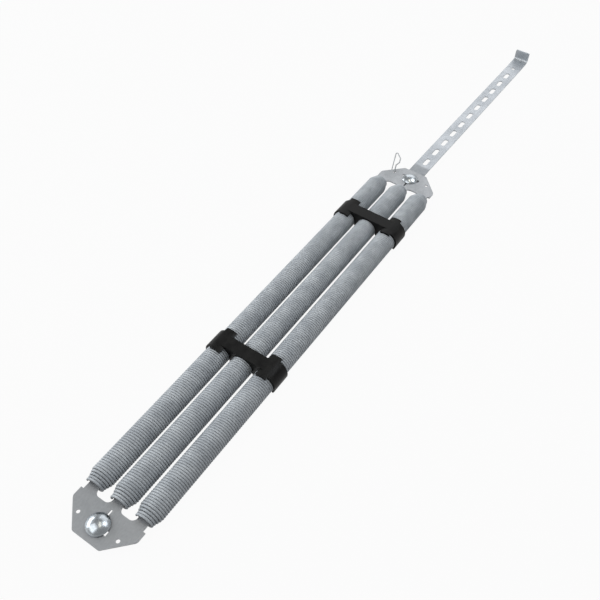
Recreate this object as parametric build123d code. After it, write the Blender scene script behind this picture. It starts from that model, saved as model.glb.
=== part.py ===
from build123d import *
import os
from math import asin, atan2, cos, radians, sin

# A garage door extension spring pack. Three close-wound springs lie side by side between two
# identical steel end plates, two plastic clips hold them in step, and a perforated tension strap
# hangs on the upper plate's bolt. All sizes are in millimetres.
#
# While it is drawn, X runs from the outer edge of the lower plate towards the strap, Y runs
# across the springs and Z is up, with the axes of the springs at height 0. At the end the whole
# pack is moved so that the middle of its underside is the origin.

# Springs
WIRE = 4.0                  # round spring wire, wound with its turns touching
SPRING_DIAMETER = 38.0      # over the body
NECK_DIAMETER = 29.0        # over the smaller turns at each end
SPRING_TURNS = 196
NECK_TURNS = 2              # turns of the small neck, at each end
SHOULDER_TURNS = 2          # turns that grow from the neck to the body
RIDGED_TURNS = 5            # body turns drawn one by one, next to each shoulder
GROOVE_DEPTH = 1.1          # how deep the gap between two turns looks
SPRING_SPACING = 44.1       # from one axis to the next

# End plates
PLATE_THICKNESS = 2.5
PLATE_HALF_WIDTH = 57.2
PLATE_OUTER_HALF = 23.5     # half of the straight outer edge
PLATE_SHOULDER = 35.5       # where the slanted sides meet the parallel ones
PLATE_SIDE_END = 51.0       # where the parallel sides end
WEB_EDGE = 53.0             # the edge between two fingers
PLATE_CORNER = 4.0          # radius of the corners at the outer edge
SHOULDER_CORNER = 8.0       # radius of the corners at the shoulders
WEB_FILLET = 8.0            # radius where a finger grows out of the plate
FINGER_WIDTH = 17.6
FINGER_INSET = 60.5         # from the plate's outer edge to the tip of the spring's neck
HEAD_WIDTH = 25.0           # the hammer head that the shoulder turns hold
HEAD_LENGTH = 14.0
CROSS_SLOT_PLACE = 22.0
CROSS_SLOT_LENGTH = 35.2
CROSS_SLOT_WIDTH = 6.8
LONG_SLOT_WIDTH = 3.0
LONG_SLOT_END = 50.0
PIN_HOLE = 6.0              # small hole for a wire clip
PIN_HOLE_PLACE = 23.3
PIN_HOLE_OFFSET = 35.4

# Bolts and nuts
BOLT_DIAMETER = 12.0
BOLT_PLACE = 24.5           # from the plate's outer edge
UPPER_DOME_DIAMETER = 30.0
UPPER_DOME_HEIGHT = 7.5
UPPER_DOME_LIFT = 0.0
LOWER_DOME_DIAMETER = 33.5  # the lower bolt has the larger head
LOWER_DOME_HEIGHT = 10.8
LOWER_DOME_LIFT = 2.3       # its edge stands this far above the plate, over a cone
DOME_RIM = 1.0              # straight edge under the dome
DOME_STEPS = 3              # cones that draw the dome, each within 0.2 of the true sphere
NECK_SQUARE = 12.0          # square part that stops the bolt from turning
NUT_WIDTH = 19.0            # across flats
NUT_HEIGHT = 9.0
BOLT_STANDS_OUT = 2.0       # past the nut, where the strap is clamped
BOLT_END_CHAMFER = 1.0

# Tension strap
STRAP_WIDTH = 33.0
STRAP_THICKNESS = 2.5
STRAP_NEAR_END = 51.0       # how far it reaches in under the plate
STRAP_STEP_START = 1.0      # first bend, past the plate's outer edge
STRAP_STEP_END = 7.0
STRAP_STEP_DROP = 1.3
STRAP_RUN_START = 29.0      # where the perforated run begins to slope
FIRST_SLOT = 48.0           # middle of the first slot, past the plate's outer edge
SLOT_PITCH = 41.0
SLOT_COUNT = 11
SLOT_LENGTH = 25.0
SLOT_WIDTH = 9.0
END_HOLE = 9.0
RUN_PAST_HOLE = 8.0
FOOT_LENGTH = 37.0          # level stretch after the last hole
TAB_HEIGHT = 23.4
TAB_LEAN = 1.7              # the tab leans back by this much
STRAP_BEND = 6.0            # radius of the bends, on the upper side
STRAP_CORNER = 3.0

# Moulded clips
CLIP_PLACES = (346.0, 722.0)
CLIP_THICKNESS = 4.0
BAR_WIDTH = 22.0
LEG_DEPTH = 6.0             # how far the legs reach below the springs' axes
CAP_WIDTH = 45.0
CAP_START = 68.0            # angles round an outer spring, from its outer side upwards
CAP_END = 118.0
CLAW_WIDTH = 34.0
CLAW_THICKNESS = 3.0
CLAW_END = -35.0
CLAW_OVERLAP = 5.0          # how far the claw runs on under the cap, in degrees

# Wire clip, a hairpin that lies nearly flat, measured from its pin along its straight leg
CLIP_WIRE = 2.2
CLIP_TURNED = 19.5          # degrees outwards
CLIP_POINT = 67.5           # where the lines of its two legs would meet
CLIP_SPREAD = 6.4           # from the pin's line to the straight leg
CLIP_TAIL = 2.0             # where the straight leg ends, under the plate
CLIP_LEVEL = 20.0           # level stretch of the wavy leg, from the pin
CLIP_BULGE = 5.0            # how far the wavy leg bows out, away from the straight one
CLIP_BULGE_START = 31.0
CLIP_BULGE_END = 46.0
CLIP_BEND = 2.0             # radius of its bends

# Clearances
SEAT_GAP = 0.3              # between a clip or a hammer head and the spring
STRAP_PLAY = 0.2            # above and below the strap
BORE_PLAY = 0.1             # all round a shank, a neck or a thread
FLOOR_GAP = 0.2             # under the strap's foot
FINDING = 0.01              # how exactly an edge's length and place are told apart

# Sizes that follow from the ones above
spring_radius = SPRING_DIAMETER / 2
neck_radius = NECK_DIAMETER / 2
spring_length = SPRING_TURNS * WIRE
pack_length = spring_length + 2 * FINGER_INSET
half_plate = PLATE_THICKNESS / 2
spring_places = (SPRING_SPACING, 0.0, -SPRING_SPACING)
strap_top = -half_plate - STRAP_PLAY
nut_top_upper = strap_top - STRAP_THICKNESS - STRAP_PLAY
bolt_end = nut_top_upper - NUT_HEIGHT - BOLT_STANDS_OUT


def spring():
    """One spring along X from its neck's tip, as the ridged sleeve that its turns form."""
    end_turns = NECK_TURNS + SHOULDER_TURNS + RIDGED_TURNS
    growth = (spring_radius - neck_radius) / (SHOULDER_TURNS + 1)
    outer = []
    for turn in range(end_turns):
        step = min(max(turn - NECK_TURNS + 1, 0), SHOULDER_TURNS + 1)
        crest = neck_radius + growth * step
        outer.append((turn * WIRE, crest - GROOVE_DEPTH))
        outer.append(((turn + 0.5) * WIRE, crest))
    outer.append((end_turns * WIRE, spring_radius - GROOVE_DEPTH))
    outer.append(((end_turns + 0.5) * WIRE, spring_radius))
    neck_end = NECK_TURNS * WIRE
    shoulder_end = neck_end + SHOULDER_TURNS * WIRE
    inner = [
        (0, neck_radius - WIRE),
        (neck_end, neck_radius - WIRE),
        (shoulder_end, spring_radius - WIRE),
    ]
    far_outer = [(spring_length - x, r) for x, r in reversed(outer)]
    far_inner = [(spring_length - x, r) for x, r in inner]
    section = make_face(Polyline(*outer, *far_outer, *far_inner, *reversed(inner), close=True))
    return revolve(section, Axis.X)


def finger():
    """A finger with its hammer head, from inside the plate, as a flat face along X."""
    head_start = FINGER_INSET + NECK_TURNS * WIRE
    room = HEAD_WIDTH / 2 - (neck_radius - WIRE)
    rise = (spring_radius - neck_radius) / (SHOULDER_TURNS * WIRE)
    head_start += room / rise + SEAT_GAP
    shaft_start = PLATE_SHOULDER
    shaft = Pos((shaft_start + head_start) / 2, 0) * Rectangle(head_start - shaft_start, FINGER_WIDTH)
    head = Pos(head_start + HEAD_LENGTH / 2, 0) * Rectangle(HEAD_LENGTH, HEAD_WIDTH)
    return shaft + head


def end_plate():
    """The flat plate with three fingers, its slots and its holes, for the lower end."""
    half = [
        (0, PLATE_OUTER_HALF),
        (PLATE_SHOULDER, PLATE_HALF_WIDTH),
        (PLATE_SIDE_END, PLATE_HALF_WIDTH),
        (PLATE_SIDE_END, SPRING_SPACING),
        (WEB_EDGE, SPRING_SPACING),
    ]
    mirrored = [(x, -y) for x, y in reversed(half)]
    web = make_face(Polyline(*half, *mirrored, close=True))
    outer_corners = web.vertices().filter_by(lambda v: v.X < PLATE_SHOULDER / 2)
    web = fillet(outer_corners, PLATE_CORNER)
    shoulders = web.vertices().filter_by(lambda v: abs(v.X - PLATE_SHOULDER) < FINDING)
    web = fillet(shoulders, SHOULDER_CORNER)
    face = web + [Pos(0, y) * finger() for y in spring_places]
    roots = face.vertices().filter_by(
        lambda v: abs(v.X - WEB_EDGE) < SEAT_GAP and abs(v.Y) < SPRING_SPACING)
    face = fillet(roots, WEB_FILLET)
    face -= Pos(CROSS_SLOT_PLACE, 0) * Rectangle(CROSS_SLOT_WIDTH, CROSS_SLOT_LENGTH)
    square = NECK_SQUARE + 2 * BORE_PLAY
    face -= Pos(BOLT_PLACE, 0) * Rectangle(square, square)
    long_slot = LONG_SLOT_END - BOLT_PLACE
    face -= Pos(BOLT_PLACE + long_slot / 2, 0) * Rectangle(long_slot, LONG_SLOT_WIDTH)
    for side in (-1, 1):
        face -= Pos(PIN_HOLE_PLACE, side * PIN_HOLE_OFFSET) * Circle(PIN_HOLE / 2)
    return Pos(0, 0, -half_plate) * extrude(face, PLATE_THICKNESS)


def bolt(dome_diameter, dome_height, dome_lift):
    """A dome-headed bolt, standing on its plate at the origin."""
    radius = dome_diameter / 2
    rise = dome_height - DOME_RIM - dome_lift
    dome_radius = (radius ** 2 + rise ** 2) / (2 * rise)
    centre = half_plate + dome_height - dome_radius
    spread = asin(radius / dome_radius)
    angles = [spread * step / DOME_STEPS for step in range(DOME_STEPS + 1)]
    dome = [(dome_radius * sin(a), centre + dome_radius * cos(a)) for a in angles]
    rim = (radius, half_plate + dome_lift)
    seat = (radius - dome_lift, half_plate)
    underside = [rim, seat] if dome_lift else [rim]
    outline = Polyline(*dome, *underside, (0, half_plate), close=True)
    head = revolve(Plane.XZ * make_face(outline), Axis.Z)
    square = Pos(0, 0, -half_plate) * extrude(Rectangle(NECK_SQUARE, NECK_SQUARE), PLATE_THICKNESS)
    length = -half_plate - bolt_end
    shank = Cylinder(BOLT_DIAMETER / 2, length, align=(Align.CENTER, Align.CENTER, Align.MIN))
    tip = shank.edges().group_by(Axis.Z)[0]
    shank = chamfer(tip, BOLT_END_CHAMFER)
    return head + square + Pos(0, 0, bolt_end) * shank


def nut(top):
    """A hexagon nut whose upper face lies at the height given."""
    face = RegularPolygon(NUT_WIDTH / 2, 6, major_radius=False) - Circle(BOLT_DIAMETER / 2 + BORE_PLAY)
    return Pos(0, 0, top - NUT_HEIGHT) * extrude(face, NUT_HEIGHT)


def strap():
    """The perforated strap, from under the upper plate to its upturned tab."""
    edge = pack_length
    level = strap_top - STRAP_STEP_DROP
    foot_start = edge + FIRST_SLOT + SLOT_COUNT * SLOT_PITCH + RUN_PAST_HOLE
    foot_end = foot_start + FOOT_LENGTH
    foot_level = -spring_radius + FLOOR_GAP + STRAP_THICKNESS
    upper_side = [
        (edge - STRAP_NEAR_END, strap_top),
        (edge + STRAP_STEP_START, strap_top),
        (edge + STRAP_STEP_END, level),
        (edge + STRAP_RUN_START, level),
        (foot_start, foot_level),
        (foot_end, foot_level),
        (foot_end - TAB_LEAN, foot_level + TAB_HEIGHT),
    ]
    path = Plane.XZ * FilletPolyline(*upper_side, radius=STRAP_BEND)
    section = make_face(offset(path, STRAP_THICKNESS, side=Side.RIGHT))
    blank = extrude(section, STRAP_WIDTH / 2, both=True)
    ends = blank.edges().filter_by(lambda e: abs(e.length - STRAP_THICKNESS) < FINDING)
    ends = ends.filter_by(lambda e: abs(abs(e.center().Y) - STRAP_WIDTH / 2) < FINDING)
    blank = fillet(ends, STRAP_CORNER)
    slope = atan2(foot_level - level, foot_start - edge - STRAP_RUN_START)
    run = Plane(
        origin=(edge + STRAP_RUN_START, 0, level),
        x_dir=(cos(slope), 0, sin(slope)),
        z_dir=(-sin(slope), 0, cos(slope)),
    )
    through = 4 * STRAP_THICKNESS
    for number in range(SLOT_COUNT):
        along = (FIRST_SLOT - STRAP_RUN_START + number * SLOT_PITCH) / cos(slope)
        cut = extrude(SlotOverall(SLOT_LENGTH, SLOT_WIDTH), through, both=True)
        blank -= run * Pos(along, 0, 0) * cut
    hole_along = (FIRST_SLOT - STRAP_RUN_START + SLOT_COUNT * SLOT_PITCH) / cos(slope)
    blank -= run * Pos(hole_along, 0, 0) * Cylinder(END_HOLE / 2, 2 * through)
    pivot = Cylinder(BOLT_DIAMETER / 2 + BORE_PLAY, 2 * through)
    return blank - Pos(edge - BOLT_PLACE, 0, strap_top) * pivot


def ring_sector(inner, outer, start, end):
    """A flat piece of a ring between two angles, in degrees."""
    def at(radius, angle):
        return (radius * cos(radians(angle)), radius * sin(radians(angle)))
    edges = [
        CenterArc((0, 0), outer, start, end - start),
        Line(at(outer, end), at(inner, end)),
        CenterArc((0, 0), inner, end, start - end),
        Line(at(inner, start), at(outer, start)),
    ]
    return make_face(edges)


def spring_clip():
    """A moulded clip across the three springs, centred on its own place along X."""
    around = spring_radius + SEAT_GAP
    top = around + CLIP_THICKNESS
    bar = Pos(0, top / 2) * Rectangle(2 * SPRING_SPACING, top)
    for place in spring_places:
        bar -= Pos(place, 0) * Circle(around)
    leg_width = SPRING_SPACING - 2 * around
    for side in (-1, 1):
        leg = Rectangle(leg_width, 2 * LEG_DEPTH)
        bar += Pos(side * SPRING_SPACING / 2, 0) * leg
    cap = ring_sector(around, top, CAP_START, CAP_END)
    claw = ring_sector(around, around + CLAW_THICKNESS, CLAW_END, CAP_START + CLAW_OVERLAP)
    clip = extrude(Plane.YZ * bar, BAR_WIDTH / 2, both=True)
    for side in (-1, 1):
        for face, width in ((cap, CAP_WIDTH), (claw, CLAW_WIDTH)):
            placed = Pos(SPRING_SPACING, 0) * face
            if side < 0:
                placed = mirror(placed, Plane.YZ)
            clip += extrude(Plane.YZ * placed, width / 2, both=True)
    return clip


def wire_clip():
    """The bent wire clip, with its pin in a small hole at the origin and its straight leg along X."""
    half = CLIP_WIRE / 2
    over = half_plate + half + SEAT_GAP
    points = [
        (0, 0, -over - half),
        (0, 0, over),
        (CLIP_LEVEL, 0, over),
        (CLIP_BULGE_START, -CLIP_BULGE, over / 2),
        (CLIP_BULGE_END, -CLIP_BULGE, 0),
        (CLIP_POINT, CLIP_SPREAD, 0),
        (CLIP_TAIL, CLIP_SPREAD, -over - SEAT_GAP),
    ]
    path = FilletPolyline(*points, radius=CLIP_BEND)
    start = Plane(origin=path @ 0, z_dir=path % 0)
    return sweep(start * Circle(half), path)


pieces = {}
for name, place in zip(("left", "middle", "right"), spring_places):
    pieces["spring_" + name] = Pos(FINGER_INSET, place, 0) * spring()

lower_plate = end_plate()
pieces["lower_plate"] = lower_plate
pieces["upper_plate"] = mirror(lower_plate, Plane.YZ.offset(pack_length / 2))

lower_bolt_place = Pos(BOLT_PLACE, 0, 0)
upper_bolt_place = Pos(pack_length - BOLT_PLACE, 0, 0)
pieces["lower_bolt"] = lower_bolt_place * bolt(LOWER_DOME_DIAMETER, LOWER_DOME_HEIGHT, LOWER_DOME_LIFT)
pieces["lower_nut"] = lower_bolt_place * nut(-half_plate)
pieces["upper_bolt"] = upper_bolt_place * bolt(UPPER_DOME_DIAMETER, UPPER_DOME_HEIGHT, UPPER_DOME_LIFT)
pieces["upper_nut"] = upper_bolt_place * nut(nut_top_upper)

pieces["tension_strap"] = strap()

for name, place in zip(("lower", "upper"), CLIP_PLACES):
    pieces[name + "_spring_clip"] = Pos(place, 0, 0) * spring_clip()

pin_place = Pos(pack_length - PIN_HOLE_PLACE, PIN_HOLE_OFFSET, 0)
pieces["wire_clip"] = pin_place * Rot(0, 0, CLIP_TURNED) * wire_clip()

# The middle of the underside becomes the origin
boxes = [piece.bounding_box() for piece in pieces.values()]
middle_x = (min(box.min.X for box in boxes) + max(box.max.X for box in boxes)) / 2
middle_y = (min(box.min.Y for box in boxes) + max(box.max.Y for box in boxes)) / 2
underside = min(box.min.Z for box in boxes)
home = Pos(-middle_x, -middle_y, -underside)

os.makedirs("parts", exist_ok=True)
for name, piece in pieces.items():
    export_step(home * piece, f"parts/{name}.step")
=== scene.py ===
# %% [markdown]
# # A garage door extension spring pack
#
# Three close-wound springs lie side by side between two pressed steel plates. A dome-headed bolt
# sits in each plate, two moulded clips keep the springs in step, and a perforated tension strap
# hangs under the upper plate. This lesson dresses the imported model: it loads the fixed frame,
# winds the wire turn by turn, turns the bolts and nuts, folds the strap, and gives every piece a
# finish of its own. All lengths are in metres, so sizes are written in millimetres times MM.

import bmesh
import bpy
import numpy as np
from mathutils import Matrix, Vector


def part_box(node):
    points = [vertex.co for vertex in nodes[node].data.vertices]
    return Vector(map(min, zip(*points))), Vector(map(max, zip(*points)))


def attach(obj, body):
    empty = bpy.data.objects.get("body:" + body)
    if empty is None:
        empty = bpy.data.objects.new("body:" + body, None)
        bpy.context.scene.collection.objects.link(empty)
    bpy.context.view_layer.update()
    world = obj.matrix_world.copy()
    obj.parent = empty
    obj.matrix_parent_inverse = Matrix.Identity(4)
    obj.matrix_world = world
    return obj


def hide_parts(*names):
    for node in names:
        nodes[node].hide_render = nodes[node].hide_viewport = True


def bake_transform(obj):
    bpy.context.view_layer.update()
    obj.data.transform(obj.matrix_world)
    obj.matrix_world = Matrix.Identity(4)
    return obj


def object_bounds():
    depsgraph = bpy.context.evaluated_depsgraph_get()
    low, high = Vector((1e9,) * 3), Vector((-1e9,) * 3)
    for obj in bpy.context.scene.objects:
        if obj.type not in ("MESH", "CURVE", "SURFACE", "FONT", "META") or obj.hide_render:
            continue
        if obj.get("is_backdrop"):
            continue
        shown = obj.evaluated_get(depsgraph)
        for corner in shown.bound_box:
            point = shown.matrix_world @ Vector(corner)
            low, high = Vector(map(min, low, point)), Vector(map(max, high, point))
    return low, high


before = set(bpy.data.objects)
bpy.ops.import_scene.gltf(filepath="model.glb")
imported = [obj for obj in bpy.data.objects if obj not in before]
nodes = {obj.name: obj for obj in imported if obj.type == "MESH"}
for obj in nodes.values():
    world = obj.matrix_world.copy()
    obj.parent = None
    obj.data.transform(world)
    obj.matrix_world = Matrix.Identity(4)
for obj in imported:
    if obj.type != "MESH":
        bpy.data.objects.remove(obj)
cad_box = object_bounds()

MM = 0.001

# %% [markdown]
# ## Camera
#
# The camera stands beyond the lower plate, to its right, and looks down along the pack at about
# fifty degrees. A camera's turn can be typed as angles, aimed with a constraint, or built from
# its own axes. The axes are used here, because they say directly which way is right and up in
# the picture, and no constraint is left behind for other views to fight with.

# %% Place the camera
CAMERA_PLACE = Vector((-0.8917, -0.4057, 0.9354))
PICTURE_RIGHT = Vector((0.55824, -0.82891, 0.03588))
PICTURE_UP = Vector((0.61931, 0.44508, 0.6468))
FOCAL_PIXELS = 721.54
PICTURE_SIDE = 600
SENSOR_WIDTH = 36.0

camera = bpy.data.objects.new("camera", bpy.data.cameras.new("camera"))
bpy.context.scene.collection.objects.link(camera)
camera.data.sensor_width = SENSOR_WIDTH
camera.data.lens = SENSOR_WIDTH * FOCAL_PIXELS / PICTURE_SIDE
camera.data.clip_start = 0.01
camera.data.clip_end = 100.0
picture_back = PICTURE_RIGHT.cross(PICTURE_UP).normalized()
turn = Matrix((PICTURE_RIGHT, PICTURE_UP, picture_back)).transposed()
camera.matrix_world = Matrix.Translation(CAMERA_PLACE) @ turn.to_4x4()
bpy.context.scene.camera = camera
bpy.context.scene.view_settings.view_transform = "Standard"
print("camera lens", round(camera.data.lens, 2), "mm")

# %% [markdown]
# ## Node helpers
#
# A procedural finish is a small graph: a pattern is made, remapped to a useful range, and fed
# into the Principled shader. Writing each link by hand is slow to read, so a few helpers make a
# material, add a node with its settings, remap a pattern, and mix two colours.

# %% Helpers for materials
def new_material(name):
    """An empty node material with its Principled shader, linked to the output."""
    material = bpy.data.materials.new(name)
    material.use_nodes = True
    shader = material.node_tree.nodes["Principled BSDF"]
    return material, material.node_tree, shader


def add_node(tree, kind, inputs=None, **settings):
    """Adds one node. A value in inputs is either a constant or another node's output."""
    node = tree.nodes.new(kind)
    for setting, value in settings.items():
        setattr(node, setting, value)
    for socket, value in (inputs or {}).items():
        if isinstance(value, bpy.types.NodeSocket):
            tree.links.new(value, node.inputs[socket])
        else:
            node.inputs[socket].default_value = value
    return node


def remapped(tree, value, low, high, start=0.0, end=1.0):
    """The value taken from start...end to low...high, and held at those ends."""
    inputs = {"Value": value, "From Min": start, "From Max": end, "To Min": low, "To Max": high}
    return add_node(tree, "ShaderNodeMapRange", inputs).outputs["Result"]


def mixed_colour(tree, factor, first, second):
    """A colour between first and second. Each is RGB as linear light, or another node's output."""
    node = add_node(tree, "ShaderNodeMix", data_type="RGBA")
    tree.links.new(factor, node.inputs["Factor"])
    for socket, colour in ((node.inputs[6], first), (node.inputs[7], second)):
        if isinstance(colour, bpy.types.NodeSocket):
            tree.links.new(colour, socket)
        else:
            socket.default_value = (*colour, 1.0)
    return node.outputs[2]


def combined(tree, operation, first, second):
    """One Math node on two values, each a constant or another node's output."""
    return add_node(tree, "ShaderNodeMath", {0: first, 1: second}, operation=operation).outputs[0]


def noise(tree, place, scale, detail=3.0, roughness=0.5):
    """Soft cloudy noise, with scale as the number of waves in a metre."""
    inputs = {"Vector": place, "Scale": scale, "Detail": detail, "Roughness": roughness}
    return add_node(tree, "ShaderNodeTexNoise", inputs).outputs["Fac"]


def stretched(tree, place, scales):
    """The same place with each axis scaled, which draws a pattern out into streaks."""
    inputs = {"Vector": place, "Scale": scales}
    return add_node(tree, "ShaderNodeMapping", inputs).outputs["Vector"]


def object_place(tree):
    """Object coordinates, which are the same in every pose and from every side."""
    return add_node(tree, "ShaderNodeTexCoord").outputs["Object"]


def bumped(tree, shader, height, distance, strength=1.0):
    """Feeds a height pattern into the shader as bump, distance being its depth in metres."""
    inputs = {"Height": height, "Distance": distance, "Strength": strength}
    bump = add_node(tree, "ShaderNodeBump", inputs)
    tree.links.new(bump.outputs["Normal"], shader.inputs["Normal"])


print("material helpers ready")

# %% [markdown]
# ## Light and floor
#
# Zinc is grey because of what it mirrors. So the room it mirrors is bright near the horizon and
# darker overhead, and five soft lamps stand in it. Two on the left and one high on the right
# light the springs, a narrow warm one overhead gives the domes their small highlight, and one
# beyond the strap is mirrored by the flat sheet. The floor is a pale plane that shows white to the
# camera and in reflections, yet still takes part of the object's shadow. Light Path tells the
# floor which kind of ray is asking.

# %% Floor and world
WHITE = (1.0, 1.0, 1.0)
FLOOR_HALF = 12.0
FLOOR_COLOUR = (0.4, 0.4, 0.4, 1.0)
FLOOR_GLOW = 0.95          # how much of the floor is plain white where seen directly
WORLD_COLOUR = (0.95, 0.97, 1.0, 1.0)
WORLD_FILL = 0.2
HORIZON = 1.0              # what metal mirrors at the horizon, as white
ZENITH = 0.42              # and straight above
FALL_START = 0.02          # heights between which it falls, as the Z of the direction
FALL_END = 0.4


def seen_directly(tree):
    """One for camera, glossy and transmission rays, and zero for all others."""
    path = add_node(tree, "ShaderNodeLightPath").outputs
    direct = combined(tree, "MAXIMUM", path["Is Camera Ray"], path["Is Glossy Ray"])
    return combined(tree, "MAXIMUM", direct, path["Is Transmission Ray"])


def mixed_shader(tree, factor, first, second, output):
    """Sends a mix of two shaders to the output node's Surface."""
    node = add_node(tree, "ShaderNodeMixShader", {0: factor})
    tree.links.new(first.outputs[0], node.inputs[1])
    tree.links.new(second.outputs[0], node.inputs[2])
    tree.links.new(node.outputs[0], tree.nodes[output].inputs["Surface"])


floor_mesh = bpy.data.meshes.new("floor")
corners = [(-FLOOR_HALF, -FLOOR_HALF, 0), (FLOOR_HALF, -FLOOR_HALF, 0),
           (FLOOR_HALF, FLOOR_HALF, 0), (-FLOOR_HALF, FLOOR_HALF, 0)]
floor_mesh.from_pydata(corners, [], [(0, 1, 2, 3)])
floor = bpy.data.objects.new("floor", floor_mesh)
bpy.context.scene.collection.objects.link(floor)
floor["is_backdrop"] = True

floor_material = bpy.data.materials.new("pale_floor")
floor_material.use_nodes = True
tree = floor_material.node_tree
tree.nodes.remove(tree.nodes["Principled BSDF"])
matt = add_node(tree, "ShaderNodeBsdfDiffuse", {"Color": FLOOR_COLOUR})
glow = add_node(tree, "ShaderNodeEmission", {"Color": (*WHITE, 1.0), "Strength": 1.0})
share = combined(tree, "MULTIPLY", seen_directly(tree), FLOOR_GLOW)
mixed_shader(tree, share, matt, glow, "Material Output")
floor_mesh.materials.append(floor_material)

world = bpy.data.worlds.new("studio")
bpy.context.scene.world = world
world.use_nodes = True
tree = world.node_tree
fill = tree.nodes["Background"]
fill.inputs["Color"].default_value = WORLD_COLOUR
fill.inputs["Strength"].default_value = WORLD_FILL
direction = add_node(tree, "ShaderNodeTexCoord").outputs["Generated"]
height = add_node(tree, "ShaderNodeSeparateXYZ", {"Vector": direction}).outputs["Z"]
falling = remapped(tree, height, HORIZON, ZENITH, FALL_START, FALL_END)
to_camera = add_node(tree, "ShaderNodeLightPath").outputs["Is Camera Ray"]
strength = combined(tree, "MAXIMUM", to_camera, falling)
shown = add_node(tree, "ShaderNodeBackground", {"Color": (*WHITE, 1.0), "Strength": strength})
mixed_shader(tree, seen_directly(tree), fill, shown, "World Output")
print("floor and world ready")

# %% Lamps
def soft_lamp(name, place, aim, size, power, colour):
    """A rectangular area lamp at place, turned to face the point aim. Size is wide by high."""
    lamp = bpy.data.objects.new(name, bpy.data.lights.new(name, "AREA"))
    lamp.data.shape = "RECTANGLE"
    lamp.data.size, lamp.data.size_y = size
    lamp.data.energy = power
    lamp.data.color = colour
    lamp.location = place
    lamp.rotation_euler = (Vector(aim) - Vector(place)).to_track_quat("-Z", "Y").to_euler()
    bpy.context.scene.collection.objects.link(lamp)
    print(name, power, "W")


soft_lamp("key_lamp", (-1.9, 0.8, 1.9), (-0.2, 0.0, 0.0), (2.0, 2.0), 23.5, (0.96, 0.98, 1.0))
soft_lamp("left_lamp", (-0.9, 2.5, 0.9), (-0.3, 0.0, 0.0), (2.6, 1.0), 37.0, (0.96, 0.98, 1.0))
soft_lamp("top_lamp", (-0.35, -0.2, 2.2), (-0.45, -0.3, 0.0), (0.5, 1.3), 5.0, (1.0, 0.94, 0.8))
soft_lamp("right_lamp", (0.75, -0.9, 1.8), (0.2, -0.1, 0.0), (1.2, 1.2), 15.0, (0.93, 0.96, 1.0))
soft_lamp("far_lamp", (2.1, 0.7, 1.45), (0.2, 0.0, 0.0), (2.6, 1.9), 19.0, (0.97, 0.98, 1.0))

# %% [markdown]
# ## Surfaces from numpy grids
#
# A bolt, a wire and a nut are all the same idea: points on a grid of rows and columns, where one
# parameter runs along the shape and the other runs round it. The helpers below number the
# quads of such a grid, put the points into a mesh, and carry a round section along a route.

# %% Helpers for meshes
def grid_quads(rows, columns, close_rows=False):
    """The corner numbers of every quad of a grid whose columns close on themselves.

    Quad (i, j) joins points (i, j), (i, j+1), (i+1, j+1), (i+1, j), so that its face looks
    outwards where rows run along the shape and columns turn from its first axis to its second.
    """
    i = np.arange(rows if close_rows else rows - 1)[:, None]
    j = np.arange(columns)[None, :]
    below = (i + 1) % rows
    beside = (j + 1) % columns
    corners = (i * columns + j, i * columns + beside, below * columns + beside, below * columns + j)
    return np.stack(corners, axis=-1).reshape(-1, 4)


def new_piece(name, points, faces, material, smooth=True):
    """A mesh object from computed points and faces, with one material."""
    mesh = bpy.data.meshes.new(name)
    mesh.from_pydata(points.reshape(-1, 3).tolist(), [], [tuple(f) for f in faces])
    mesh.polygons.foreach_set("use_smooth", np.full(len(mesh.polygons), smooth))
    mesh.materials.append(material)
    piece = bpy.data.objects.new(name, mesh)
    bpy.context.scene.collection.objects.link(piece)
    return piece


def carried_ring(centres, first, second, radius, sides):
    """A round section carried along a route: centre + radius (cos a first + sin a second)."""
    a = np.linspace(0.0, 2 * np.pi, sides, endpoint=False)
    round_part = np.cos(a)[None, :, None] * first[:, None, :]
    round_part = round_part + np.sin(a)[None, :, None] * second[:, None, :]
    return centres[:, None, :] + np.reshape(radius, (-1, 1, 1)) * round_part


def capped(rows, columns):
    """The faces of a carried ring: its quads, and one flat face at each end."""
    faces = grid_quads(rows, columns).tolist()
    first_row = list(range(columns))[::-1]
    last_row = [(rows - 1) * columns + j for j in range(columns)]
    return faces + [first_row, last_row]


def ring_uv(piece, along, sides):
    """Writes a UV map: U is the distance along the route in metres, V goes once round.

    Corners of the quad that crosses the seam get V = 1 there instead of 0, and the two end
    faces keep the U of their own row.
    """
    mesh = piece.data
    corner = np.zeros(len(mesh.loops), dtype=np.int64)
    mesh.loops.foreach_get("vertex_index", corner)
    u = along[corner // sides]
    v = (corner % sides) / sides
    quads = (len(along) - 1) * sides
    quad_v = v[: quads * 4].reshape(-1, 4)
    crosses = (quad_v.max(axis=1) - quad_v.min(axis=1) > 0.5)[:, None] & (quad_v < 0.5)
    v[: quads * 4] = np.where(crosses, quad_v + 1.0, quad_v).ravel()
    layer = mesh.uv_layers.new(name="wire_map")
    layer.data.foreach_set("uv", np.stack([u, v], axis=-1).astype(np.float32).ravel())


print("mesh helpers ready")

# %% [markdown]
# ## Finish: galvanised spring wire
# The wire is drawn through a die and then zinc coated, so it is a soft bluish grey with faint
# lines along its length. The grooves between turns are painted darker, a painted shade where the
# turns meet. The wire's own UV map is used, because the pattern has to follow the helix: V tells
# how far a point is from the crest of its turn, and U runs along the wire.

# %% Spring wire material
WIRE_LIGHT = (0.48, 0.507, 0.53)
WIRE_DARK = (0.36, 0.385, 0.41)
# painted shade: the colour of the grooves where neighbouring turns meet
GROOVE_SHADE_COLOUR = (0.26, 0.27, 0.28)
GROOVE_START = 0.13         # share of a turn round the wire, from its crest
GROOVE_END = 0.23
WIRE_METAL = 0.12
WIRE_SHEEN = 0.15
WIRE_ROUGH = (0.5, 0.65)
WIRE_PATCHES_IN_A_METRE = 45.0
WIRE_CONTRAST = (0.36, 0.64)    # the stretch of the noise that goes from dark to light
DRAWN_LINES = (60.0, 14.0, 1.0)
LINE_CONTRAST = (0.3, 0.7)
LINE_DEPTH = 0.03 * MM
LINE_BUMP = 0.6

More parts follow.
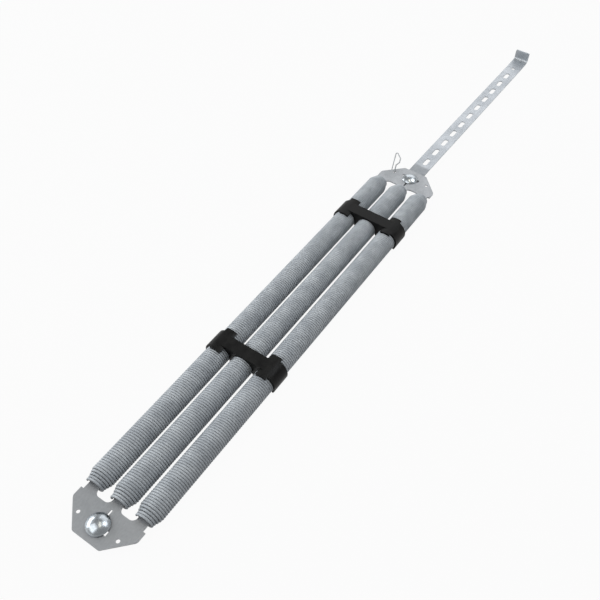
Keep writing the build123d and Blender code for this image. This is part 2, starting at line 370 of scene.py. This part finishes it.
spring_wire, tree, shader = new_material("spring_wire")
wire_map = add_node(tree, "ShaderNodeUVMap", uv_map="wire_map").outputs["UV"]
cloudy = noise(tree, object_place(tree), WIRE_PATCHES_IN_A_METRE, 4.0, 0.6)
patches = remapped(tree, cloudy, 0.0, 1.0, *WIRE_CONTRAST)
tone = mixed_colour(tree, patches, WIRE_DARK, WIRE_LIGHT)
round_wire = add_node(tree, "ShaderNodeSeparateXYZ", {"Vector": wire_map}).outputs["Y"]
from_crest = combined(tree, "PINGPONG", round_wire, 0.5)
# painted shade, from a share of a turn away from the crest onwards
groove_shade = remapped(tree, from_crest, 0.0, 1.0, GROOVE_START, GROOVE_END)
coloured = mixed_colour(tree, groove_shade, tone, GROOVE_SHADE_COLOUR)
tree.links.new(coloured, shader.inputs["Base Color"])
lines = noise(tree, stretched(tree, wire_map, DRAWN_LINES), 1.0, 3.0, 0.6)
roughness = remapped(tree, lines, *WIRE_ROUGH, *LINE_CONTRAST)
tree.links.new(roughness, shader.inputs["Roughness"])
shader.inputs["Metallic"].default_value = WIRE_METAL
shader.inputs["Specular IOR Level"].default_value = WIRE_SHEEN
bumped(tree, shader, lines, LINE_DEPTH, LINE_BUMP)
print("material", spring_wire.name)

# %% [markdown]
# ## The three springs
#
# Each spring is one wire wound with its turns touching, smaller at the neck so that it holds the
# hammer head of the plate. A screw modifier could wind it, but the neck needs a radius that
# changes. So the centre line is a formula of the turn number, and a round section is carried
# along it. The winding is right-handed, and the cut wire ends lie on the outer left side.
#
# When the pack is stretched the lower end stays and the upper end moves away, and only the
# turns between the shoulders open.

# %% Wind the springs
WIRE = 4.0 * MM
WIRE_GAP = 0.04 * MM        # air between two turns
NECK_DIAMETER = 29.0 * MM
NECK_TURNS = 2
SHOULDER_TURNS = 2
STEPS_IN_A_TURN = 40
WIRE_SIDES = 12
CROPPED_END = 0.5 * MM      # small chamfer where the wire was cut
# Where each spring's lower wire end lies, in degrees above its left side.
START_ANGLES = {"spring_left": 8.0, "spring_middle": -6.0, "spring_right": 14.0}


def wound_centres(turn_number, pitch, winding_radius, start_angle):
    """Centre line of a spring along X: angle = start + 2 pi t, place along = pitch t."""
    angle = start_angle + 2 * np.pi * turn_number
    outward = np.stack([0 * angle, np.cos(angle), np.sin(angle)], axis=-1)
    centres = winding_radius[:, None] * outward
    centres[:, 0] = pitch * turn_number
    return centres, outward


def winding_radius_at(turn_number, last_turn, full_radius, neck_radius):
    """Neck radius for the first turns, then a straight growth over the shoulder turns."""
    from_end = np.minimum(turn_number, last_turn - turn_number)
    growth = np.clip((from_end - NECK_TURNS + 1) / (SHOULDER_TURNS + 1), 0.0, 1.0)
    return neck_radius + (full_radius - neck_radius) * growth


def wind_spring(node):
    """One spring in the place of its CAD node."""
    low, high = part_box(node)
    turns = (high.x - low.x) / WIRE - 1
    full_radius = (high.z - low.z) / 2 - WIRE / 2
    neck_radius = (NECK_DIAMETER - WIRE) / 2
    t = np.linspace(0.0, turns, round(turns * STEPS_IN_A_TURN) + 1)
    radius = winding_radius_at(t, turns, full_radius, neck_radius)
    start = np.radians(START_ANGLES[node])
    centres, outward = wound_centres(t, WIRE, radius, start)
    tangent = np.gradient(centres, axis=0)
    step = np.linalg.norm(tangent, axis=1, keepdims=True)
    tangent = tangent / step
    second = np.cross(tangent, outward)
    centres += np.array([low.x + WIRE / 2, (low.y + high.y) / 2, (low.z + high.z) / 2])
    ring_radius = np.full(len(t), (WIRE - WIRE_GAP) / 2)
    ring_radius[[0, -1]] -= CROPPED_END
    rings = carried_ring(centres, outward, second, ring_radius, WIRE_SIDES)
    faces = capped(len(t), WIRE_SIDES)
    spring = new_piece(node + "_wire", rings, faces, spring_wire)
    ring_uv(spring, np.cumsum(step[:, 0]), WIRE_SIDES)
    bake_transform(spring)
    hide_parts(node)
    print(spring.name, round(turns), "turns,", round(step.sum(), 2), "m of wire")


for node in START_ANGLES:
    wind_spring(node)

# %% [markdown]
# ## Finish: zinc-coated sheet and bright zinc
#
# The plates and the strap are sheet steel with a dull zinc coat: grey with a green or blue cast,
# clouded in patches a few centimetres wide, with fine grain from the rolling mill and a few
# hairline scratches. The strap's short level stretch by the plate is painted darker, a painted
# shade. The bolts have a thin bright zinc plate, almost a mirror, that is dimpled by tumbling in
# the plating drum. The same graph serves all of them, and the wire clip, with other numbers.

# %% Sheet and bolt materials
CLOUDS_IN_A_METRE = 28.0
FLECKS_IN_A_METRE = 260.0
FLECK_STRENGTH = 0.06       # how much each pattern adds to the clouds, or takes away
LINE_STRENGTH = 0.16
FLECK_SIZE = (0.0, 0.8)     # distance from a fleck's middle, as a share of its cell
TONE_CONTRAST = (0.3, 0.72)
ROUGH_CONTRAST = (0.3, 0.75)
SHEET_LINE_DEPTH = 0.03 * MM
SHEET_SCRATCH = 0.12
DIMPLED = 0.4
# the colour that the painted shade on the strap darkens towards
BLACK = (0.0, 0.0, 0.0)


def sheet_material(name, light, dark, grain, metal, rough, scratch=SHEET_SCRATCH, painted_shade=None):
    """Clouded zinc: grain is how much the rolling lines are drawn out along each axis.

    Rough is the lowest and highest roughness. The last argument, as (start, end, share), paints
    shade: the colour loses up to that share of its light, nothing at start along X and all at end.
    """
    material, tree, shader = new_material(name)
    place = object_place(tree)
    clouds = noise(tree, place, CLOUDS_IN_A_METRE, 5.0, 0.62)
    spangle = add_node(tree, "ShaderNodeTexVoronoi", {"Vector": place, "Scale": FLECKS_IN_A_METRE})
    flecks = remapped(
        tree, spangle.outputs["Distance"], -FLECK_STRENGTH, FLECK_STRENGTH, *FLECK_SIZE)
    rolled = noise(tree, stretched(tree, place, grain), 1.0, 4.0, 0.65)
    lines = remapped(tree, rolled, -LINE_STRENGTH, LINE_STRENGTH, *LINE_CONTRAST)
    pattern = combined(tree, "ADD", combined(tree, "ADD", clouds, flecks), lines)
    tone = mixed_colour(tree, remapped(tree, pattern, 0.0, 1.0, *TONE_CONTRAST), dark, light)
    # painted shade: the colour darkens along X, towards the plate on the strap
    if painted_shade:
        start, end, share = painted_shade
        along = add_node(tree, "ShaderNodeSeparateXYZ", {"Vector": place}).outputs["X"]
        tone = mixed_colour(tree, remapped(tree, along, 0.0, share, start, end), tone, BLACK)
    tree.links.new(tone, shader.inputs["Base Color"])
    rough_low, rough_high = rough
    roughness = remapped(tree, pattern, rough_high, rough_low, *ROUGH_CONTRAST)
    tree.links.new(roughness, shader.inputs["Roughness"])
    shader.inputs["Metallic"].default_value = metal
    bumped(tree, shader, rolled, SHEET_LINE_DEPTH, scratch)
    return material


# Painted shade on the strap's level stretch by the upper plate: darker towards the plate.
SHADE_FROM = 31.0 * MM       # measured from the upper plate's edge
SHADE_FULLY = 26.0 * MM
SHADE_SHARE = 0.35

plate_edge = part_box("upper_plate")[1].x
shaded_stretch = (plate_edge + SHADE_FROM, plate_edge + SHADE_FULLY, SHADE_SHARE)

plate_zinc = sheet_material(
    "plate_zinc", light=(0.40, 0.412, 0.428), dark=(0.305, 0.318, 0.33),
    grain=(140.0, 900.0, 300.0), metal=0.6, rough=(0.34, 0.5))
strap_zinc = sheet_material(
    "strap_zinc", light=(0.47, 0.495, 0.52), dark=(0.37, 0.395, 0.42),
    grain=(60.0, 1100.0, 300.0), metal=0.6, rough=(0.3, 0.46), painted_shade=shaded_stretch)
bolt_zinc = sheet_material(
    "bolt_zinc", light=(0.50, 0.535, 0.56), dark=(0.37, 0.4, 0.425),
    grain=(500.0, 500.0, 500.0), metal=1.0, rough=(0.15, 0.3), scratch=DIMPLED)
clip_wire_zinc = sheet_material(
    "clip_wire_zinc", light=(0.42, 0.43, 0.44), dark=(0.28, 0.29, 0.30),
    grain=(400.0, 400.0, 400.0), metal=0.9, rough=(0.3, 0.45))
print("sheet and bolt materials ready")

# %% [markdown]
# ## Finish: moulded black plastic
#
# The clips are black nylon with a slightly stippled mould texture. Plain black would look cut
# out of the picture, so it is a very dark warm grey, with the stipple as bump and broad patches
# of handling sheen in the roughness.

# %% Plastic material
PLASTIC_LIGHT = (0.011, 0.011, 0.0105)
PLASTIC_DARK = (0.006, 0.006, 0.006)
PLASTIC_SHEEN = 0.12
PLASTIC_ROUGH = (0.32, 0.5)
PLASTIC_PATCHES_IN_A_METRE = 60.0
PLASTIC_CONTRAST = (0.35, 0.65)
STIPPLES_IN_A_METRE = 1800.0
STIPPLE_DEPTH = 0.05 * MM
STIPPLE_BUMP = 0.5

clip_plastic, tree, shader = new_material("clip_plastic")
place = object_place(tree)
patches = noise(tree, place, PLASTIC_PATCHES_IN_A_METRE, 4.0, 0.6)
tone = remapped(tree, patches, 0.0, 1.0, *PLASTIC_CONTRAST)
tree.links.new(mixed_colour(tree, tone, PLASTIC_DARK, PLASTIC_LIGHT), shader.inputs["Base Color"])
roughness = remapped(tree, patches, *PLASTIC_ROUGH, *PLASTIC_CONTRAST)
tree.links.new(roughness, shader.inputs["Roughness"])
shader.inputs["Specular IOR Level"].default_value = PLASTIC_SHEEN
stipple = noise(tree, place, STIPPLES_IN_A_METRE, 2.0, 0.5)
bumped(tree, shader, stipple, STIPPLE_DEPTH, STIPPLE_BUMP)
print("material", clip_plastic.name)

# %% [markdown]
# ## Turned and threaded pieces
#
# A bolt is a turned shape, but its neck is square and its thread is a helix. All of that fits
# one polar grid: every point has a height and a radius, and the radius may depend on the angle.
# A square or hexagon seen from its axis has radius = half width / cos(angle from the nearest
# flat), and a thread is a saw-tooth of height and angle together.

# %% Helpers for turned pieces
TURNED_SIDES = 72


def flats(angle, count, half_width):
    """Radius of a regular outline with count flats, at each angle."""
    sector = 2 * np.pi / count
    from_flat = (angle + sector / 2) % sector - sector / 2
    return half_width / np.cos(from_flat)


def thread(height, angle, radius, pitch, depth):
    """Radius of a ridge that climbs one pitch in each turn, as a triangle wave."""
    phase = (height / pitch - angle / (2 * np.pi)) % 1.0
    return radius - depth * np.abs(2 * phase - 1)


def turned_points(radius, height, angle, axis):
    """Points from radius and height arrays of rows by columns, round an axis at (x, y)."""
    x = axis[0] + radius * np.cos(angle)
    y = axis[1] + radius * np.sin(angle)
    return np.stack([x, y, height], axis=-1)


def with_poles(rows, columns):
    """Faces of a turned grid that runs down from a pole, the last two points being the poles."""
    top, bottom = rows * columns, rows * columns + 1
    faces = grid_quads(rows, columns)[:, ::-1].tolist()
    last = (rows - 1) * columns
    for j in range(columns):
        beside = (j + 1) % columns
        faces.append((top, j, beside))
        faces.append((bottom, last + beside, last + j))
    return faces


print("helpers for turned pieces ready")

# %% [markdown]
# ## Bolts
#
# Each bolt drops through the plate from above. Its dome is a shallow part of a sphere with a
# small straight rim, and the lower bolt's rim stands on a cone a little above the plate. The
# square neck keeps the bolt from turning, and the thread carries the nut. The dome's outline is
# an arc, so its rows are spaced by angle and not by height.

# %% Turn the bolts
DOME_RIM = 1.0 * MM
RIM_ROUNDING = 0.2 * MM
LOWER_DOME_LIFT = 2.3 * MM
DOME_ROWS = 22
NECK_HALF = 6.0 * MM
THREAD_RADIUS = 6.0 * MM
THREAD_PITCH = 1.75 * MM
THREAD_DEPTH = 1.0 * MM
ROWS_IN_A_PITCH = 8
POINT_CHAMFER = 1.0 * MM
BOLT_SHARP_ANGLE = np.radians(38.0)


def turn_bolt(node, plate, body, lift):
    """A bolt in the place of its CAD node, its rim lifted off the plate by the height given."""
    low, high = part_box(node)
    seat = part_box(plate)[1].z
    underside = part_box(plate)[0].z
    axis = ((low.x + high.x) / 2, (low.y + high.y) / 2)
    rim = (high.x - low.x) / 2
    rise = high.z - seat - DOME_RIM - lift
    sphere = (rim ** 2 + rise ** 2) / (2 * rise)
    spread = np.arcsin(rim / sphere)
    lean = np.linspace(0.0, spread, DOME_ROWS + 1)[1:]
    dome_radius = sphere * np.sin(lean)
    dome_height = high.z - sphere + sphere * np.cos(lean)
    threaded = underside - low.z
    rows = round(threaded / THREAD_PITCH * ROWS_IN_A_PITCH)
    shank_height = np.linspace(underside, low.z, rows + 1)
    cone_end = rim - lift - 2 * RIM_ROUNDING
    radii = [*dome_radius, rim, rim - RIM_ROUNDING, cone_end, NECK_HALF, NECK_HALF]
    heights = [*dome_height, seat + lift + RIM_ROUNDING, seat + lift, seat, seat, underside]
    plain = len(radii)
    radius = np.array([*radii, *np.full(len(shank_height), THREAD_RADIUS)])[:, None]
    height = np.array([*heights, *shank_height])[:, None]
    angle = np.linspace(0.0, 2 * np.pi, TURNED_SIDES, endpoint=False)[None, :]
    radius, height, angle = (grid.copy() for grid in np.broadcast_arrays(radius, height, angle))
    square = slice(plain - 2, plain)
    radius[square] = flats(angle[square], 4, NECK_HALF)
    cut = slice(plain, None)
    ridge = thread(height[cut], angle[cut], THREAD_RADIUS, THREAD_PITCH, THREAD_DEPTH)
    chamfer = THREAD_RADIUS - POINT_CHAMFER + (height[cut] - low.z)
    radius[cut] = np.minimum(ridge, chamfer)
    rings = turned_points(radius, height, angle, axis).reshape(-1, 3)
    poles = np.array([[*axis, high.z], [*axis, low.z]])
    faces = with_poles(len(radius), TURNED_SIDES)
    bolt = new_piece(node + "_turned", np.concatenate([rings, poles]), faces, bolt_zinc)
    bolt.data.set_sharp_from_angle(angle=BOLT_SHARP_ANGLE)
    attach(bolt, body)
    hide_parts(node)
    print(bolt.name, "has a dome of", round(2 * rim / MM, 1), "mm across")


turn_bolt("lower_bolt", "lower_plate", "pack", LOWER_DOME_LIFT)
turn_bolt("upper_bolt", "upper_plate", "upper_end", 0.0)

# %% [markdown]
# ## Nuts
#
# A real nut is a hexagon whose corners are turned off by a cone above and below. That is the
# smaller of two radii at every point: the hexagon's and the cone's. The bore gets the same
# thread formula, and the rows close on themselves, so the nut has no loose edge anywhere.

# %% Cut the nuts
NUT_CONE_START = 0.3 * MM   # how far the flat face stops inside the flats
CONE_SLOPE = np.tan(np.radians(30.0))
SIDE_ROWS = 24
BORE_RADIUS = THREAD_RADIUS + 0.1 * MM
BORE_THREAD_DEPTH = 0.3 * MM
NUT_SHARP_ANGLE = np.radians(28.0)


def cut_nut(node, body):
    """A hexagon nut with coned corners and a threaded bore, in the place of its CAD node."""
    low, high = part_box(node)
    axis = ((low.x + high.x) / 2, (low.y + high.y) / 2)
    half_flats = (high.y - low.y) / 2
    tall = high.z - low.z
    bore_rows = round(tall / THREAD_PITCH * ROWS_IN_A_PITCH)
    side = high.z - tall * (0.5 - 0.5 * np.cos(np.linspace(0.0, np.pi, SIDE_ROWS)))
    bore = np.linspace(low.z, high.z, bore_rows)
    height = np.concatenate([side, bore])[:, None]
    angle = np.linspace(0.0, 2 * np.pi, TURNED_SIDES, endpoint=False)[None, :]
    height, angle = (grid.copy() for grid in np.broadcast_arrays(height, angle))
    depth = np.minimum(height - low.z, high.z - height)
    cone = half_flats - NUT_CONE_START + depth / CONE_SLOPE
    hexagon = flats(angle - np.pi / 6, 6, half_flats)
    radius = np.minimum(hexagon, cone)
    inner = slice(SIDE_ROWS, None)
    radius[inner] = thread(
        height[inner], angle[inner], BORE_RADIUS, THREAD_PITCH, -BORE_THREAD_DEPTH)
    points = turned_points(radius, height, angle, axis)
    faces = grid_quads(len(height), TURNED_SIDES, close_rows=True)[:, ::-1].tolist()
    nut = new_piece(node + "_cut", points, faces, bolt_zinc)
    nut.data.set_sharp_from_angle(angle=NUT_SHARP_ANGLE)
    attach(nut, body)
    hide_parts(node)
    print(nut.name, round(2 * half_flats / MM, 1), "mm across flats")


cut_nut("lower_nut", "pack")
cut_nut("upper_nut", "upper_end")

# %% [markdown]
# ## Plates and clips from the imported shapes
#
# The plates and the moulded clips already have their true outline in the frame. What they lack
# is the small radius that every punched or moulded edge has, the part that catches light. The
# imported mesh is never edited, so a copy is merged, its flat triangles are joined into whole
# faces, and a Bevel modifier rounds the edges. Weighted normals keep the big faces flat.

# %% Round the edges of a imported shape
SAME_POINT = 0.005 * MM
FLAT_WITHIN = np.radians(0.6)
ROUNDED_ABOVE = np.radians(35.0)
PUNCHED_EDGE = (0.35 * MM, 2)     # width of the rounding, and its segments
MOULDED_EDGE = (0.9 * MM, 3)


def softened(node, name, body, material, edge):
    """A merged copy of a CAD node with small rounded edges, in that node's place."""
    build = bmesh.new()
    build.from_mesh(nodes[node].data)
    bmesh.ops.remove_doubles(build, verts=build.verts, dist=SAME_POINT)
    bmesh.ops.dissolve_limit(
        build, angle_limit=FLAT_WITHIN, verts=build.verts, edges=build.edges)
    bmesh.ops.recalc_face_normals(build, faces=build.faces)
    mesh = bpy.data.meshes.new(name)
    build.to_mesh(mesh)
    build.free()
    mesh.polygons.foreach_set("use_smooth", np.full(len(mesh.polygons), True))
    mesh.materials.clear()
    mesh.materials.append(material)
    piece = bpy.data.objects.new(name, mesh)
    bpy.context.scene.collection.objects.link(piece)
    bevel = piece.modifiers.new("rounded_edges", "BEVEL")
    bevel.width, bevel.segments = edge
    bevel.limit_method = "ANGLE"
    bevel.angle_limit = ROUNDED_ABOVE
    bevel.use_clamp_overlap = True
    piece.modifiers.new("flat_faces", "WEIGHTED_NORMAL").keep_sharp = True
    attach(piece, body)
    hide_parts(node)
    print(piece.name, len(mesh.polygons), "faces before rounding")


softened("lower_plate", "lower_plate_pressed", "pack", plate_zinc, PUNCHED_EDGE)
softened("upper_plate", "upper_plate_pressed", "upper_end", plate_zinc, PUNCHED_EDGE)
softened("lower_spring_clip", "lower_clip_moulded", "lower_clip",
         clip_plastic, MOULDED_EDGE)
softened("upper_spring_clip", "upper_clip_moulded", "upper_clip",
         clip_plastic, MOULDED_EDGE)

# %% [markdown]
# ## Tension strap
#
# The strap is a flat bar punched with a row of slots and then folded. It is worked out flat
# first, as patches of a sheet: plain strips, and cells with a slot in the middle. In a cell, one
# parameter goes round the slot and the other goes from its edge to the edge of the cell. The
# flat sheet is then laid on the folded line. Solidify gives it its thickness, and Bevel rounds its
# edges a little.

# %% The folded line of the strap
STRAP_WIDTH = 33.0 * MM
STRAP_THICKNESS = 2.5 * MM
BEND_RADIUS = 6.0 * MM
STRAP_NEAR_END = 51.0 * MM
STEP_START = 1.0 * MM
STEP_END = 7.0 * MM
STEP_DROP = 1.3 * MM
RUN_START = 29.0 * MM
FIRST_SLOT = 48.0 * MM
SLOT_PITCH = 41.0 * MM
SLOT_COUNT = 11
SLOT_LENGTH = 25.0 * MM
SLOT_WIDTH = 9.0 * MM
END_HOLE = 9.0 * MM
RUN_PAST_HOLE = 8.0 * MM
FOOT_LENGTH = 37.0 * MM
TAB_HEIGHT = 23.4 * MM
TAB_LEAN = 1.7 * MM
STRAP_CORNER = 3.0 * MM
STRAP_PLAY = 0.2 * MM       # under the upper plate
BEND_STEPS = 8


def rounded_line(corners, radius, steps):
    """A polyline whose inner corners are arcs of the given radius, as points in order.

    The arc at a corner starts radius * tan(half the turn) before it, and turns evenly from the
    direction before the corner to the direction after it.
    """
    corners = np.asarray(corners, float)
    line = [corners[0][None]]
    for before, here, after in zip(corners[:-2], corners[1:-1], corners[2:]):
        into = (here - before) / np.linalg.norm(here - before)
        out = (after - here) / np.linalg.norm(after - here)
        turned = np.arccos(np.clip(into @ out, -1.0, 1.0))
        start = here - into * radius * np.tan(turned / 2)
        towards = out - into * (out @ into)
        towards = towards / np.linalg.norm(towards)
        a = np.linspace(0.0, turned, steps + 1)[:, None]
        line.append(start + radius * (np.sin(a) * into + (1 - np.cos(a)) * towards))
    line.append(corners[-1][None])
    return np.concatenate(line)


strap_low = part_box("tension_strap")[0]
pivot_x = sum(c.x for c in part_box("upper_bolt")) / 2
strap_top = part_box("upper_plate")[0].z - STRAP_PLAY
foot_top = strap_low.z + STRAP_THICKNESS
foot_start = plate_edge + FIRST_SLOT + SLOT_COUNT * SLOT_PITCH + RUN_PAST_HOLE
foot_end = foot_start + FOOT_LENGTH
strap_corners = [
    (plate_edge - STRAP_NEAR_END, strap_top),
    (plate_edge + STEP_START, strap_top),
    (plate_edge + STEP_END, strap_top - STEP_DROP),
    (plate_edge + RUN_START, strap_top - STEP_DROP),
    (foot_start, foot_top),
    (foot_end, foot_top),
    (foot_end - TAB_LEAN, foot_top + TAB_HEIGHT),
]
strap_line = rounded_line(strap_corners, BEND_RADIUS, BEND_STEPS)
strap_u = np.concatenate([[0.0], np.cumsum(np.linalg.norm(np.diff(strap_line, axis=0), axis=1))])
print("strap is", round(strap_u[-1] / MM), "mm long when flat")

# %% The flat sheet, patch by patch
WIDE_STEPS = 16
LONG_STEPS = 24
CELL_RINGS = 4
RING_GROWTH = 1.5           # above one, the rings lie closer together at the slot's edge
CORNER_STEPS = 6
SHORTEST_ROW = 0.2 * MM
PIVOT_CELL_HALF = 12.0 * MM
PIVOT_RADIUS = THREAD_RADIUS + 0.1 * MM
END_CELL_REACH = 9.0 * MM   # beyond the middle of the end hole


def strip(rows_u, half_width):
    """A plain strip: u along the strap, v from minus to plus the half width of each row."""
    v = np.linspace(-1.0, 1.0, WIDE_STEPS + 1)[None, :] * half_width[:, None]
    u = np.broadcast_to(rows_u[:, None], v.shape)
    return np.stack([u, v], axis=-1)


def slot_cell(start, end, centre, half_straight, radius, half_width):
    """A rectangle with a round-ended slot: rings from the slot's edge to the outer edge.

    An outer point B belongs to the nearest point C on the slot's middle line, and its partner on
    the slot's edge lies a radius away from C towards B. Rings between them are plain mixes.
    """
    side = np.linspace(-half_width, half_width, WIDE_STEPS + 1)
    length = np.linspace(start, end, LONG_STEPS + 1)
    ends = np.full(WIDE_STEPS, end)
    starts = np.full(WIDE_STEPS, start)
    u = np.concatenate([length[:-1], ends, length[:0:-1], starts])
    v = np.concatenate([
        np.full(LONG_STEPS, -half_width), side[:-1], np.full(LONG_STEPS, half_width), side[:0:-1]])
    outer = np.stack([u, v], axis=-1)
    middle = np.stack([np.clip(u, centre - half_straight, centre + half_straight), 0 * v], axis=-1)
    away = outer - middle
    inner = middle + radius * away / np.linalg.norm(away, axis=1, keepdims=True)
    mix = (np.linspace(0.0, 1.0, CELL_RINGS + 1) ** RING_GROWTH)[:, None, None]
    return inner + (outer - inner) * mix


def u_at(x):
    """Place along the flat strap of a point on its run, from its X in the folded shape."""
    run = strap_line[:, 0] <= foot_end - BEND_RADIUS
    return np.interp(x, strap_line[run, 0], strap_u[run])


def rows_between(start, end):
    """Row places from start to end: both ends, and every folded point between them."""
    between = strap_u[(strap_u > start + SHORTEST_ROW) & (strap_u < end - SHORTEST_ROW)]
    return np.concatenate([[start], between, [end]])


def corner_half_width(rows_u, half_width):
    """Half width of each row, drawn in along a quarter circle at the strap's two ends."""
    from_end = np.minimum(rows_u, strap_u[-1] - rows_u)
    missing = STRAP_CORNER - np.clip(from_end, 0.0, STRAP_CORNER)
    return half_width - (STRAP_CORNER - np.sqrt(STRAP_CORNER ** 2 - missing ** 2))


half_strap = STRAP_WIDTH / 2
first_cell = plate_edge + FIRST_SLOT - SLOT_PITCH / 2
last_hole = plate_edge + FIRST_SLOT + SLOT_COUNT * SLOT_PITCH
corner_rows = STRAP_CORNER * (1 - np.cos(np.linspace(0.0, np.pi / 2, CORNER_STEPS + 1)))
near_rows = np.concatenate([corner_rows, [u_at(pivot_x - PIVOT_CELL_HALF)]])
neck_rows = rows_between(u_at(pivot_x + PIVOT_CELL_HALF), u_at(first_cell))
foot_rows = rows_between(u_at(last_hole + END_CELL_REACH), strap_u[-1] - STRAP_CORNER)
foot_rows = np.concatenate([foot_rows, (strap_u[-1] - corner_rows)[:-1][::-1]])
plain_rows = [near_rows, neck_rows, foot_rows]
cells = [slot_cell(near_rows[-1], neck_rows[0], u_at(pivot_x), 0.0, PIVOT_RADIUS, half_strap)]
for number in range(SLOT_COUNT):
    middle_x = plate_edge + FIRST_SLOT + number * SLOT_PITCH
    start, middle, end = (u_at(middle_x + step * SLOT_PITCH / 2) for step in (-1, 0, 1))
    straight = (SLOT_LENGTH - SLOT_WIDTH) / 2
    cells.append(slot_cell(start, end, middle, straight, SLOT_WIDTH / 2, half_strap))
before_hole = u_at(last_hole - SLOT_PITCH / 2)
cells.append(slot_cell(before_hole, foot_rows[0], u_at(last_hole), 0.0, END_HOLE / 2, half_strap))
print(len(cells), "punched cells and", len(plain_rows), "plain strips")

# %% [markdown]
# Neighbouring patches have the same points along their shared edge. Those points are welded by
# rounding them to a fine grid and keeping one of each, which numpy's unique does in one step.

# %% Fold the sheet and give it thickness
WELD_GRID = 0.002 * MM
STRAP_EDGE = 0.3 * MM
STRAP_ROUNDED_ABOVE = np.radians(50.0)


def open_quads(rows, columns):
    """Quads of a grid that closes in neither direction, looking up."""
    i = np.arange(rows - 1)[:, None]
    j = np.arange(columns - 1)[None, :]
    corner = i * columns + j
    quads = (corner, corner + columns, corner + columns + 1, corner + 1)
    return np.stack(quads, axis=-1).reshape(-1, 4)


def folded(flat):
    """Lays flat (u, v) points on the folded line: x and z follow u, and y is v."""
    x = np.interp(flat[:, 0], strap_u, strap_line[:, 0])
    z = np.interp(flat[:, 0], strap_u, strap_line[:, 1])
    return np.stack([x, flat[:, 1], z], axis=-1)


patches = []
for rows_u in plain_rows:
    patch = strip(rows_u, corner_half_width(rows_u, half_strap))
    patches.append((patch.reshape(-1, 2), open_quads(*patch.shape[:2])))
for cell in cells:
    patches.append((cell.reshape(-1, 2), grid_quads(*cell.shape[:2])[:, ::-1]))
counts = np.cumsum([0] + [len(points) for points, _ in patches])
flat_points = np.concatenate([points for points, _ in patches])
all_quads = np.concatenate([quads + first for (_, quads), first in zip(patches, counts)])
on_grid = np.round(flat_points / WELD_GRID)
_, keep, same = np.unique(on_grid, axis=0, return_index=True, return_inverse=True)
welded_quads = same.ravel()[all_quads]
strap = new_piece("tension_strap_folded", folded(flat_points[keep]), welded_quads, strap_zinc)
solidify = strap.modifiers.new("sheet_thickness", "SOLIDIFY")
solidify.thickness = STRAP_THICKNESS
solidify.offset = -1.0
solidify.use_even_offset = True
bevel = strap.modifiers.new("punched_edges", "BEVEL")
bevel.width = STRAP_EDGE
bevel.segments = 2
bevel.limit_method = "ANGLE"
bevel.angle_limit = STRAP_ROUNDED_ABOVE
strap.modifiers.new("flat_faces", "WEIGHTED_NORMAL").keep_sharp = True
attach(strap, "strap")
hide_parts("tension_strap")
print(strap.name, len(strap.data.polygons), "faces before thickness")

# %% [markdown]
# ## Wire clip
#
# The wire clip is a short piece of hard wire bent into a long hairpin that lies nearly flat. Its
# pin goes down through the plate's small hole, a wavy leg runs out over the plate, and a straight
# leg comes back under it. The route is a few corners in space, rounded off with small arcs. To
# carry a ring along it, two directions across the wire are needed at every point: both come from
# a cross product with one fixed direction that the wire never takes.

# %% Bend the wire clip
CLIP_WIRE = 2.2 * MM
CLIP_TURNED = np.radians(19.5)
CLIP_POINT = 67.5 * MM
CLIP_SPREAD = 6.4 * MM
CLIP_TAIL = 2.0 * MM
CLIP_LEVEL = 20.0 * MM
CLIP_BULGE = 5.0 * MM
CLIP_BULGE_START = 31.0 * MM
CLIP_BULGE_END = 46.0 * MM
CLIP_BEND = 2.0 * MM
CLIP_BEND_STEPS = 10
CLIP_CROPPED_END = 0.25 * MM
CLIP_SEAT = 0.3 * MM        # clearance over the plate
PIN_HOLE_PLACE = 23.3 * MM
PIN_HOLE_OFFSET = 35.4 * MM
CLIP_SIDES = 14
NEVER_ALONG = np.array([0.0, -0.6, 0.8])

plate_low, plate_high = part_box("upper_plate")
half_wire = CLIP_WIRE / 2
over = (plate_high.z - plate_low.z) / 2 + half_wire + CLIP_SEAT
clip_corners = [
    (0.0, 0.0, -over - half_wire),
    (0.0, 0.0, over),
    (CLIP_LEVEL, 0.0, over),
    (CLIP_BULGE_START, -CLIP_BULGE, over / 2),
    (CLIP_BULGE_END, -CLIP_BULGE, 0.0),
    (CLIP_POINT, CLIP_SPREAD, 0.0),
    (CLIP_TAIL, CLIP_SPREAD, -over - CLIP_SEAT),
]
clip_line = rounded_line(clip_corners, CLIP_BEND, CLIP_BEND_STEPS)
turned = np.array([
    [np.cos(CLIP_TURNED), np.sin(CLIP_TURNED), 0.0],
    [-np.sin(CLIP_TURNED), np.cos(CLIP_TURNED), 0.0],
    [0.0, 0.0, 1.0],
])
hole = [plate_high.x - PIN_HOLE_PLACE, PIN_HOLE_OFFSET, (plate_low.z + plate_high.z) / 2]
route = clip_line @ turned + hole
ahead = np.gradient(clip_line, axis=0)
ahead = ahead / np.linalg.norm(ahead, axis=1, keepdims=True)
sideways = np.cross(ahead, NEVER_ALONG)
sideways = sideways / np.linalg.norm(sideways, axis=1, keepdims=True)
upwards = np.cross(ahead, sideways)
ring_radius = np.full(len(route), half_wire)
ring_radius[[0, -1]] -= CLIP_CROPPED_END
clip_rings = carried_ring(route, sideways @ turned, upwards @ turned, ring_radius, CLIP_SIDES)
wire_clip = new_piece("wire_clip_bent", clip_rings, capped(len(route), CLIP_SIDES), clip_wire_zinc)
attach(wire_clip, "safety_clip")
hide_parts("wire_clip")
print(wire_clip.name, len(route), "rings")

# %% [markdown]
#
# The looks may not grow or shrink the object. The imported model's box was kept at the start, and
# the dressed model's box is measured here, so both can be read side by side.

# %% Print both boxes and finish
visual_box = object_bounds()
boxes = {"cad": [list(c) for c in cad_box], "visual": [list(c) for c in visual_box]}
for name, box in boxes.items():
    print(name, "box in mm", [[round(c / MM, 1) for c in corner] for corner in box])
